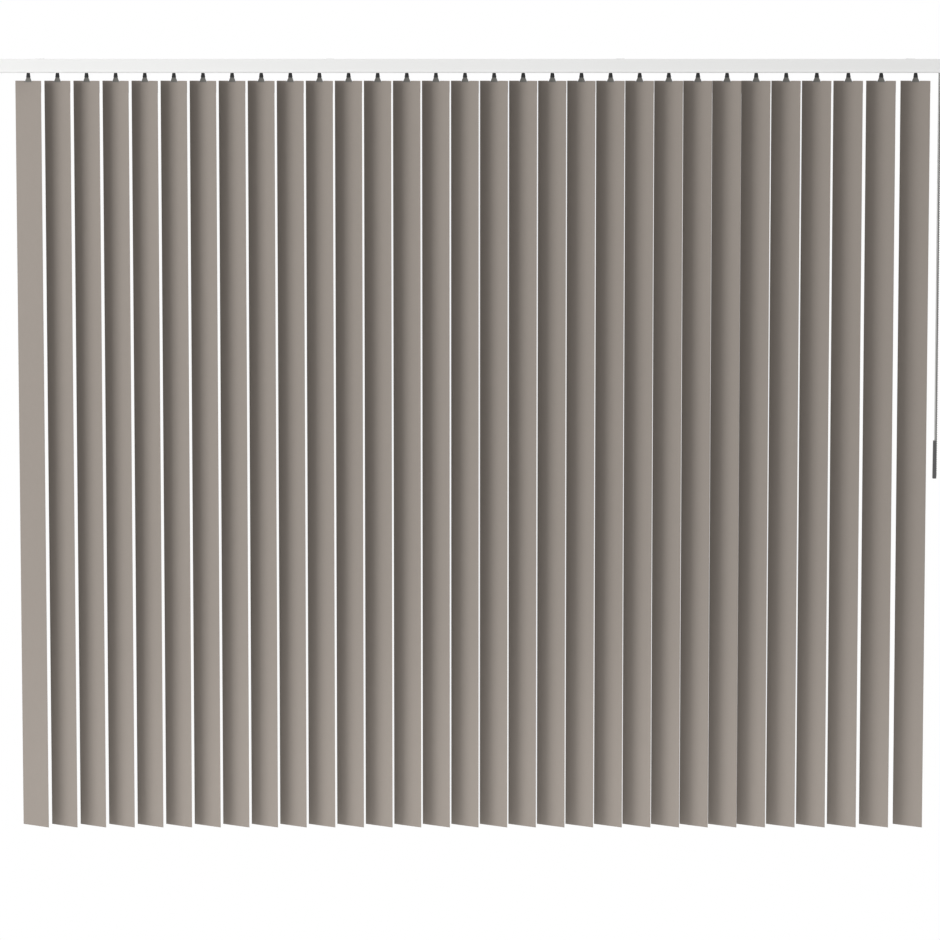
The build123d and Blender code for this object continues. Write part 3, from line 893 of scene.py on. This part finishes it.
@dataclass
class Slats:
    """The slats, each a strip of stiffened fabric with a welded pocket round its hanger."""

    wardrobe: Wardrobe
    half_gap: float = 0.0009
    pocket: float = 0.030
    slot_half: float = 0.0135
    slot_drop: float = 0.0025
    edge: float = 0.0012
    swell: int = 6
    thickness: float = 0.0005
    front_rows: int = 12
    fold_rows: int = 7
    back_rows: int = 5
    half_columns: int = 7

    def profile(self) -> tuple[Array, Array]:
        """The strip's path seen from its edge: up the front, half round a small fold and down the
        back.

        Returns:
            The (y, z) points, and the length along the strip at each.
        """
        gap, drop, edge = self.half_gap, self.slot_drop, self.edge
        bottom = SIZES.vane_top - SIZES.vane_drop
        top = SIZES.vane_top - gap - self.thickness / 2
        rises = np.linspace(bottom + edge, top - drop - edge, self.front_rows)
        front = np.concatenate([[bottom], rises, [top - drop]])
        turn = np.linspace(np.pi, 0, self.fold_rows)
        falls = np.linspace(drop + edge, self.pocket - edge, self.back_rows)
        back = top - np.concatenate([[drop], falls, [self.pocket]])
        path = np.concatenate([
            np.stack([np.full(len(front), -gap), front], axis=1),
            np.stack([gap * np.cos(turn), top + gap * np.sin(turn)], axis=1),
            np.stack([np.full(len(back), gap), back], axis=1),
        ])
        return path, length_to(path)

    def pocket_share(self, across: Array) -> Array:
        """How far the back layer stands off the front one: the whole gap in the middle and the
        fabric's thickness at the welded sides. It falls by the share of the half width, raised to
        the power swell.

        Args:
            across: places across the slat.

        Returns:
            Shares of the full gap.
        """
        closed = self.thickness / (2 * self.half_gap)
        return closed + (1 - closed) * (1 - np.abs(across / (SIZES.vane_width / 2)) ** self.swell)

    def strip(self) -> Surface:
        """The path carried across the slat's width, with the slot for the hanger's neck left open.

        Returns:
            The surface in the vane's own frame.
        """
        path, length = self.profile()
        half = SIZES.vane_width / 2
        inner = np.linspace(self.slot_half + self.edge, half - self.edge, self.half_columns)
        right = np.concatenate([[self.slot_half], inner, [half]])
        across = np.concatenate([-right[::-1], right])
        depth = (path[:, :1] + self.half_gap) * self.pocket_share(across) - self.half_gap
        points = together(across, depth, path[:, 1:])
        whole = swept(points, False, together(across[None], length[:, None]))
        corners = whole.points[whole.quads]
        middle = np.abs(corners[:, :, 0]).max(axis=1) <= self.slot_half + TINY
        high = corners[:, :, 2].max(axis=1) > SIZES.vane_top - self.slot_drop
        return Surface(whole.points, whole.quads[~(middle & high)], whole.uvs)

    def build(self) -> list[bpy.types.Object]:
        """Returns:
            The slats.
        """
        strip = self.strip()
        flat = (SIZES.vane_width, float(self.profile()[1][-1]))
        made = []
        for name in vane_names():
            piece = strip.moved(to_vane(vane_axis(name))).piece(f"slat_{name[-2:]}", name)
            wall = piece.modifiers.new("thickness", "SOLIDIFY")
            wall.thickness = self.thickness
            wall.offset = 0.0
            self.wardrobe.dress(piece, Finish.SLAT)
            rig.replaces(piece, name)
            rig.slot(piece, "slat_fabric")
            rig.sheet(piece, flat=flat, held="hung", rests_on=[f"hanger_{name[-2:]}"])
            made.append(piece)
        return made


@dataclass
class Hangers:
    """The flat hangers in the slats' pockets, each with a neck that narrows upwards."""

    wardrobe: Wardrobe
    half_thickness: float = 0.0006
    sides: int = 20
    squareness: float = 0.35
    outline: tuple[tuple[float, float], ...] = (
        (0.0030, 0.0150), (0.0115, -0.0016), (0.0360, -0.0050), (0.0360, -0.0240),
    )

    def plate(self) -> Surface:
        """The outline's half-widths at each height, filled across and given a softened edge: rows
        go down the plate, and each row's section is a closed loop of front, rounded edge and back.

        Returns:
            The surface in the vane's own frame.
        """
        rows = np.array(self.outline) + [0.0, SIZES.vane_top]
        rows = np.concatenate([rows[:1], rows, rows[-1:]])
        keep = np.ones((len(rows), 1))
        keep[[0, -1]] = 0.0
        loop_x, loop_y = soft_square(self.sides, self.squareness)
        points = together(
            rows[:, :1] * loop_x * keep, self.half_thickness * loop_y * keep, rows[:, 1:],
        )[::-1]
        return swept(points, True, points[..., [0, 2]])

    def build(self) -> list[bpy.types.Object]:
        """Makes every hanger.

        Returns:
            The hangers.
        """
        plate = self.plate()
        made = []
        for name in vane_names():
            turned = plate.moved(to_vane(vane_axis(name)))
            piece = turned.piece(f"hanger_{name[-2:]}", name, smooth=False)
            self.wardrobe.dress(piece, Finish.HANGER_PLASTIC)
            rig.replaces(piece, name)
            made.append(piece)
        return made


@dataclass
class Stems:
    """The stems: a helical worm wheel, a round journal and two jaws that grip the hanger's neck.

    Rises and keeps give, row by row, the share of a form's height and of its width there.
    """

    wardrobe: Wardrobe
    teeth: int = 6
    wheel_sides: int = 72
    wheel_bottom: float = -0.0331
    wheel_height: float = 0.008
    wheel_rises: tuple[float, ...] = (0, 0, 0.06, 0.3, 0.5, 0.7, 0.94, 1, 1)
    wheel_keeps: tuple[float, ...] = (0, 0.86, 1, 1, 1, 1, 1, 0.86, 0)
    mean_r: float = 0.00515
    tooth: float = 0.00072
    lean: float = 0.44
    journal_r: float = 0.0039
    journal_sides: int = 28
    jaw_sides: int = 24
    jaw_squareness: float = 0.3
    jaw_top: float = 0.0038
    jaw_foot: float = 0.0062
    jaw_foot_rise: float = 0.0085
    jaw_inner: float = 0.00065
    jaw_outer: float = 0.0022
    jaw_falls: tuple[float, ...] = (0, 0, 0.08, 0.92, 1, 1)
    jaw_keeps: tuple[float, ...] = (0, 0.9, 1, 1, 0.9, 0)

    def wheel(self) -> Surface:
        """Teeth as a cosine wave on the radius, turned a little with height as a worm wheel's are,
        and drawn in at both ends.

        Returns:
            The surface about Z.
        """
        angle = ring_angles(self.wheel_sides)
        rise = np.array(self.wheel_rises)[:, None]
        keep = np.array(self.wheel_keeps)[:, None]
        turned = angle[None] - self.lean * (rise - 0.5)
        radius = (self.mean_r + self.tooth * np.cos(self.teeth * turned)) * keep
        x, y = radius * np.cos(angle), radius * np.sin(angle)
        height = self.wheel_bottom + self.wheel_height * rise
        return swept(together(x, y, height), True, together(x, y))

    def journal(self) -> Surface:
        """A round neck from the wheel down to the jaws."""
        top, low, r = self.wheel_bottom, SIZES.jaws_top, self.journal_r
        return lathe(np.array([(0, top), (r, top), (r, low), (0, low)]), self.journal_sides)

    def jaws(self) -> Surface:
        """Two tapered jaws, each a rounded rectangle that widens downwards, one each side of the
        hanger's neck.

        Returns:
            The surface in the vane's own frame.
        """
        loop_x, loop_y = soft_square(self.jaw_sides, self.jaw_squareness)
        top, foot = SIZES.jaws_top, SIZES.vane_top + self.jaw_foot_rise
        share = np.array(self.jaw_falls)[:, None]
        keep = np.array(self.jaw_keeps)[:, None]
        width = (self.jaw_top + (self.jaw_foot - self.jaw_top) * share) * keep
        depth = (self.jaw_outer - self.jaw_inner) / 2 * keep
        height = top + (foot - top) * share
        parts = []
        for side in (-1, 1):
            middle = side * (self.jaw_outer + self.jaw_inner) / 2
            points = together(width * loop_x, middle + depth * loop_y, height)[::-1]
            parts.append(swept(points, True, points[..., [0, 2]]))
        return Surface.joined(parts)

    def build(self) -> list[bpy.types.Object]:
        """Makes every stem.

        Returns:
            The stems.
        """
        whole = Surface.joined([self.wheel(), self.journal(), self.jaws()])
        made = []
        for name in vane_names():
            piece = whole.moved(to_vane(vane_axis(name))).piece(f"stem_{name[-2:]}", name)
            self.wardrobe.dress(piece, Finish.BLACK_PLASTIC)
            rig.replaces(piece, name)
            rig.slot(piece, "dark_plastic")
            made.append(piece)
        return made


@dataclass
class Worms:
    """The worms on the tilt rod, one beside each stem's wheel."""

    wardrobe: Wardrobe
    half: float = 0.0074
    rows: int = 44
    sides: int = 28
    bore: float = 0.00246
    core: float = 0.00282
    thread: float = 0.00046
    lead: float = 0.0054
    meet: float = 0.0005
    run_out: float = 0.0008

    def worm(self) -> Surface:
        """One round sleeve about the rod. Its radius is the core's plus a thread: a cosine of the
        angle less one turn for each lead along X, with a crest at X = meet where the angle is 0,
        and drawn in at both ends. Its bore is plain.

        Returns:
            The surface about the rod's axis, beside the stem at X = 0.
        """
        angle = ring_angles(self.sides)
        along = np.linspace(-self.half, self.half, self.rows)
        phase = angle[None] - FULL_TURN * (along[:, None] - self.meet) / self.lead
        fade = np.clip((self.half - np.abs(along)) / self.run_out, 0, 1)[:, None]
        outer = self.core + self.thread * np.cos(phase) * fade
        rim = np.full((1, len(angle)), self.bore)
        radius = np.concatenate([rim, outer, rim, rim])
        x = np.concatenate([along[:1], along, along[-1:], along[:1]])[:, None]
        y = SIZES.rod_y + radius * np.cos(angle)
        z = SIZES.rod_z + radius * np.sin(angle)
        return swept(together(x, y, z), True, together(angle[None] / FULL_TURN, x))

    def build(self) -> list[bpy.types.Object]:
        """Makes all the worms as one piece that turns with the rod.

        Returns:
            That piece.
        """
        one = self.worm()
        worms = [one.moved(shifted(vane_axis(name))) for name in vane_names()]
        piece = Surface.joined(worms).piece("worm_threads", BODY_OF["tilt_worms"])
        self.wardrobe.dress(piece, Finish.WHITE_PLASTIC)
        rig.replaces(piece, "tilt_worms")
        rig.slot(piece, "white_plastic")
        return [piece]


@dataclass
class CeilingScrews:
    """A screw up through the middle of each ceiling bracket, its domed head inside the rail."""

    wardrobe: Wardrobe
    count: int = 4
    sides: int = 20
    half_bracket: float = 0.0100
    plate: float = 0.0012
    shank_top: float = -0.0001
    shank_r: float = 0.0019
    head_r: float = 0.0036
    head_drop: float = 0.0022
    head_rows: int = 7

    def screw(self) -> Surface:
        """The head's drop below the plate is the square root of one less the squared share of its
        radius, as a flattened dome.

        Returns:
            The surface about Z.
        """
        share = np.linspace(1, 0, self.head_rows)
        head_z = -self.plate - self.head_drop * np.sqrt(1 - share**2)
        dome = np.stack([self.head_r * share, head_z], axis=1)
        shank = [(0, self.shank_top), (self.shank_r, self.shank_top), (self.shank_r, -self.plate)]
        return lathe(np.concatenate([shank, dome]), self.sides)

    def build(self) -> list[bpy.types.Object]:
        """Makes the screws as one piece.

        Returns:
            That piece.
        """
        one = self.screw()
        first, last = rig.box("ceiling_brackets")
        places = np.linspace(first[0] + self.half_bracket, last[0] - self.half_bracket, self.count)
        screws = [one.moved(shifted(x)) for x in places]
        piece = Surface.joined(screws).piece("ceiling_screws", BODY_OF["ceiling_brackets"])
        self.wardrobe.dress(piece, Finish.STEEL)
        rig.slot(piece, "steel")
        return [piece]


@dataclass
class Headrail:
    """The rail, its caps, clips and everything inside it that the frame already shapes."""

    wardrobe: Wardrobe
    finishes: dict[str, Finish] = field(default_factory=lambda: {
        "headrail": Finish.RAIL,
        "ceiling_brackets": Finish.BRACKET,
        "lead_truck": Finish.BLACK_PLASTIC,
        "carrier_trucks": Finish.BLACK_PLASTIC,
        "spacer_links": Finish.STEEL,
        "tilt_rod": Finish.BARE_ALUMINIUM,
        "chain_sprocket": Finish.WHITE_PLASTIC,
        "chain_connector": Finish.BEADS,
        "control_end_cap": Finish.WHITE_PLASTIC,
        "control_housing": Finish.WHITE_PLASTIC,
        "front_cord_pulley": Finish.BLACK_PLASTIC,
        "rear_cord_pulley": Finish.BLACK_PLASTIC,
        "cord_pulley_pin": Finish.STEEL,
        "return_end_cap": Finish.WHITE_PLASTIC,
        "return_housing": Finish.WHITE_PLASTIC,
        "return_pulley": Finish.BLACK_PLASTIC,
        "return_pulley_pin": Finish.STEEL,
        "cord_weight": Finish.SLATE_PLASTIC,
        "weight_cap": Finish.SLATE_PLASTIC,
        "weight_pin": Finish.STEEL,
    })

    def build(self) -> list[bpy.types.Object]:
        """Gives each of the frame's own nodes its finish.

        Returns:
            Those nodes.
        """
        for node, finish in self.finishes.items():
            self.wardrobe.dress(NODES[node], finish)
        return [NODES[node] for node in self.finishes]


# Cords


def centre_line(points: Route, spacing: float) -> Array:
    """Draws a smooth curve of the third order by a route's points and measures it off evenly.

    Args:
        points: the route, in metres.
        spacing: about how far apart the returned points are.

    Returns:
        Even points along the curve.
    """
    curve = bpy.data.curves.new("route", "CURVE")
    curve.dimensions = "3D"
    curve.resolution_u = 10
    spline = curve.splines.new("NURBS")
    spline.points.add(len(points) - 1)
    flat = np.ones((len(points), 4), np.float32)
    flat[:, :3] = points
    spline.points.foreach_set("co", flat.ravel())
    spline.order_u = 3
    spline.use_endpoint_u = True
    made = bpy.data.objects.new("route", curve)
    bpy.context.scene.collection.objects.link(made)
    mesh = bpy.data.meshes.new_from_object(made)
    raw = np.empty(3 * len(mesh.vertices), np.float32)
    mesh.vertices.foreach_get("co", raw)
    bpy.data.meshes.remove(mesh)
    bpy.data.objects.remove(made)
    line = raw.reshape(-1, 3).astype(float)
    length = length_to(line)
    even = np.linspace(0, length[-1], int(round(length[-1] / spacing)) + 1)
    return np.stack([np.interp(even, length, line[:, k]) for k in range(3)], axis=1)


def every(line: Array, step: int) -> Route:
    """Every so many points of a line, and its last one, as a cord's path."""
    return [tuple(point) for point in line[::step]] + [tuple(line[-1])]


@dataclass
class BeadChain:
    """The closed bead chain that turns the tilt rod, with its lower loop bellied out behind.

    The places are those of its route's control points, and near says how far before a turn one is.
    """

    wardrobe: Wardrobe
    bead_d: float = 0.0045
    string_d: float = 0.0015
    pitch: float = 0.006
    points_per_bead: int = 12
    path_step: int = 4
    sides: int = 10
    x: float = 1.2185
    front: float = 0.0003
    rear: float = 0.0183
    belly: float = 0.0298
    top: float = -0.0201
    near_top: float = 0.027
    clip_top: float = -0.684
    clip_foot: float = -0.696
    belly_starts: tuple[float, ...] = (-0.978, -1.02375, -1.06775)
    bottom: float = -1.10175
    near_bottom: float = 0.030

    def route(self) -> Route:
        """The chain's control points, from below its clip, down, round and up to above it.

        Returns:
            The points, in metres.
        """
        leave, swing, settle = self.belly_starts
        places = [
            (self.rear, self.clip_foot), (self.rear, leave), (self.rear, swing),
            (self.belly, settle), (self.belly, self.bottom),
            (self.front, self.bottom), (self.front, self.bottom + self.near_bottom),
            (self.front, self.top - self.near_top), (self.front, self.top),
            (self.rear, self.top), (self.rear, self.top - self.near_top),
            (self.rear, self.clip_top),
        ]
        return [(self.x, y, z) for y, z in places]

    def build(self) -> list[bpy.types.Object]:
        """The chain is one tube whose radius swells into a bead at every pitch: the larger of the
        string's radius and the height of a circle of the bead's radius above the string's middle.

        Returns:
            The chain.
        """
        line = centre_line(self.route(), self.pitch / self.points_per_bead)
        length = float(np.linalg.norm(np.diff(line, axis=0), axis=1).sum())
        beads = round(length / self.pitch)
        phase = (np.linspace(0, length, len(line)) * beads / length) % 1.0 - 0.5
        from_middle = phase * length / beads
        ball = np.sqrt(np.clip((self.bead_d / 2) ** 2 - from_middle**2, 0, None))
        tube = tube_along(line, np.maximum(ball, self.string_d / 2), self.sides)
        piece = tube.piece("bead_chain", BODY_OF["tilt_chain"])
        self.wardrobe.dress(piece, Finish.BEADS)
        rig.replaces(piece, "tilt_chain")
        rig.slot(piece, "chain")
        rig.cord(
            piece, exit=line[0], length=length, diameter=self.bead_d, far_end="object",
            stiffness="limp", lay="hanging", path=every(line, self.path_step),
            with_pieces=[NODES["chain_connector"]],
        )
        return [piece]


@dataclass
class DrawCord:
    """The draw cord: one ring from the lead truck, with the weight hung in its loop.

    The places are those of its route's control points, and bend says how far before a turn one is.
    """

    wardrobe: Wardrobe
    diameter: float = 0.0018
    spacing: float = 0.002
    path_step: int = 2
    sides: int = 8
    drop_x: float = 1.2128
    front: float = -0.0155
    rear: float = -0.0065
    z: float = -0.019
    low: float = -1.0245
    left_x: float = -1.2375
    post_x: float = -1.1808
    post_gap: float = 0.0024
    bend: float = 0.0108

    def route(self) -> Route:
        """The cord's control points, from the lead truck round the loop and back.

        Returns:
            The points, in metres.
        """
        x, front, rear, z = self.drop_x, self.front, self.rear, self.z
        low, left, near = self.low, self.left_x, self.bend
        return [
            (self.post_x + self.post_gap, rear, z), (x - near, rear, z), (x, rear, z),
            (x, rear, z - near), (x, rear, low + near), (x, rear, low),
            (x, front, low), (x, front, low + near), (x, front, z - near),
            (x, front, z), (x - near, front, z), (left + near, front, z),
            (left, front, z), (left, rear, z), (left + near, rear, z), (self.post_x, rear, z),
        ]

    def build(self) -> list[bpy.types.Object]:
        """Returns:
            The cord.
        """
        route = self.route()
        line = centre_line(route, self.spacing)
        length = float(np.linalg.norm(np.diff(line, axis=0), axis=1).sum())
        tube = tube_along(line, np.full(len(line), self.diameter / 2), self.sides)
        piece = tube.piece("draw_cord_braid", BODY_OF["draw_cord"])
        self.wardrobe.dress(piece, Finish.CORD)
        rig.replaces(piece, "draw_cord")
        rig.slot(piece, "cord")
        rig.cord(
            piece, exit=route[0], length=length, diameter=self.diameter, far_end="object",
            stiffness="limp", lay="taut", path=every(line, self.path_step),
            with_pieces=[NODES[name] for name in ("cord_weight", "weight_cap", "weight_pin")],
        )
        return [piece]


# Stage


@dataclass
class Stage:
    """The floor, the lights and the camera, with angles in degrees."""

    floor_z: float = -2.16
    floor_reach: float = 60.0
    key_watts: float = 390.0
    key_size: tuple[float, float] = (5.6, 4.5)
    key_azimuth: float = 56.0
    key_distance: float = 8.0
    key_z: float = -0.6
    strip_watts: float = 4.1
    strip_size: tuple[float, float] = (2.8, 0.25)
    strip_place: tuple[float, float, float] = (0, -0.6, -2.03)
    sky_above: float = 1.15
    sky_below: float = 0.4
    sky_slope: float = 2.0
    lens_mm: float = 159.67
    sensor_mm: float = 36.0
    camera_place: tuple[float, float, float] = (-0.014, -10.967, 0.0562)
    camera_down: float = 5.931
    camera_sight: float = 200.0

    def floor(self) -> None:
        """Makes the plain pale floor."""
        mesh = bpy.data.meshes.new("floor")
        corners = [(-1, -1), (1, -1), (1, 1), (-1, 1)]
        points = [(x * self.floor_reach, y * self.floor_reach, self.floor_z) for x, y in corners]
        mesh.from_pydata(points, [], [(0, 1, 2, 3)])
        plane = bpy.data.objects.new("floor", mesh)
        bpy.context.scene.collection.objects.link(plane)
        plane.data.materials.append(PaleFloor().build())
        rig.stage(plane)

    def world(self) -> None:
        """Makes a surround that is white where it is looked at and, as a light, stronger above than
        below: the upper tone's share is a half plus the slope times the direction's rise."""
        world = bpy.data.worlds.new("studio")
        bpy.context.scene.world = world
        world.use_nodes = True
        make = Maker("", world.node_tree)
        way = make.node("ShaderNodeTexCoord", {}, {}, output="Generated")
        share = (make.axis(way, "Z") * self.sky_slope + 0.5).clamped()
        tone = make.mix(share, *[(level,) * 3 for level in (self.sky_below, self.sky_above)])
        light = make.node("ShaderNodeBackground", {}, {"Color": tone, "Strength": 1.0})
        white = make.node("ShaderNodeBackground", {}, {"Color": (1, 1, 1, 1), "Strength": 1.0})
        make.seen_as("ShaderNodeOutputWorld", light, white)

    @staticmethod
    def panel(
        name: str, watts: float, size: tuple[float, float], place: Sequence[float], azimuth: float,
    ) -> None:
        """Makes an upright rectangular light.

        Args:
            name: its name.
            watts: its power.
            size: its width and height.
            place: its middle.
            azimuth: degrees to the left of straight in front, from where it faces the blind.
        """
        lamp = bpy.data.lights.new(name, "AREA")
        lamp.shape = "RECTANGLE"
        lamp.size, lamp.size_y = size
        lamp.energy = watts
        made = bpy.data.objects.new(name, lamp)
        made.location = place
        made.rotation_euler = (math.radians(90), 0, -math.radians(azimuth))
        made.visible_camera = False
        bpy.context.scene.collection.objects.link(made)

    def lights(self) -> None:
        """Makes a large soft key light to the left, and a long low strip in front."""
        turn, far = math.radians(self.key_azimuth), self.key_distance
        place = (-far * math.sin(turn), -far * math.cos(turn), self.key_z)
        self.panel("key", self.key_watts, self.key_size, place, self.key_azimuth)
        self.panel("low_strip", self.strip_watts, self.strip_size, self.strip_place, 0)

    def camera(self) -> None:
        """Makes the camera at the photograph's angle."""
        lens = bpy.data.cameras.new("camera")
        lens.sensor_width = self.sensor_mm
        lens.lens = self.lens_mm
        lens.clip_end = self.camera_sight
        made = bpy.data.objects.new("camera", lens)
        made.location = self.camera_place
        made.rotation_euler = (math.radians(90 - self.camera_down), 0, 0)
        bpy.context.scene.collection.objects.link(made)
        bpy.context.scene.camera = made

    def build(self) -> None:
        """Makes the whole stage, and shows colours as they are."""
        self.floor()
        self.world()
        self.lights()
        self.camera()
        view = bpy.context.scene.view_settings
        view.view_transform = "Standard"
        view.look = "None"


def main() -> None:
    """Builds the stage and every sub-assembly in order, and reports each piece."""
    wardrobe = Wardrobe()
    Stage().build()
    for group in (Headrail, Hangers, Slats, Stems, Worms, CeilingScrews, BeadChain, DrawCord):
        for piece in group(wardrobe).build():
            log.info("%s: %s", group.__name__, piece.name)
    boxes = {"cad": CAD_BOX, "visual": [list(corner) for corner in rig.bounds()]}
    with open("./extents.json", "w") as out:
        json.dump(boxes, out)


if __name__ == "__main__":
    main()
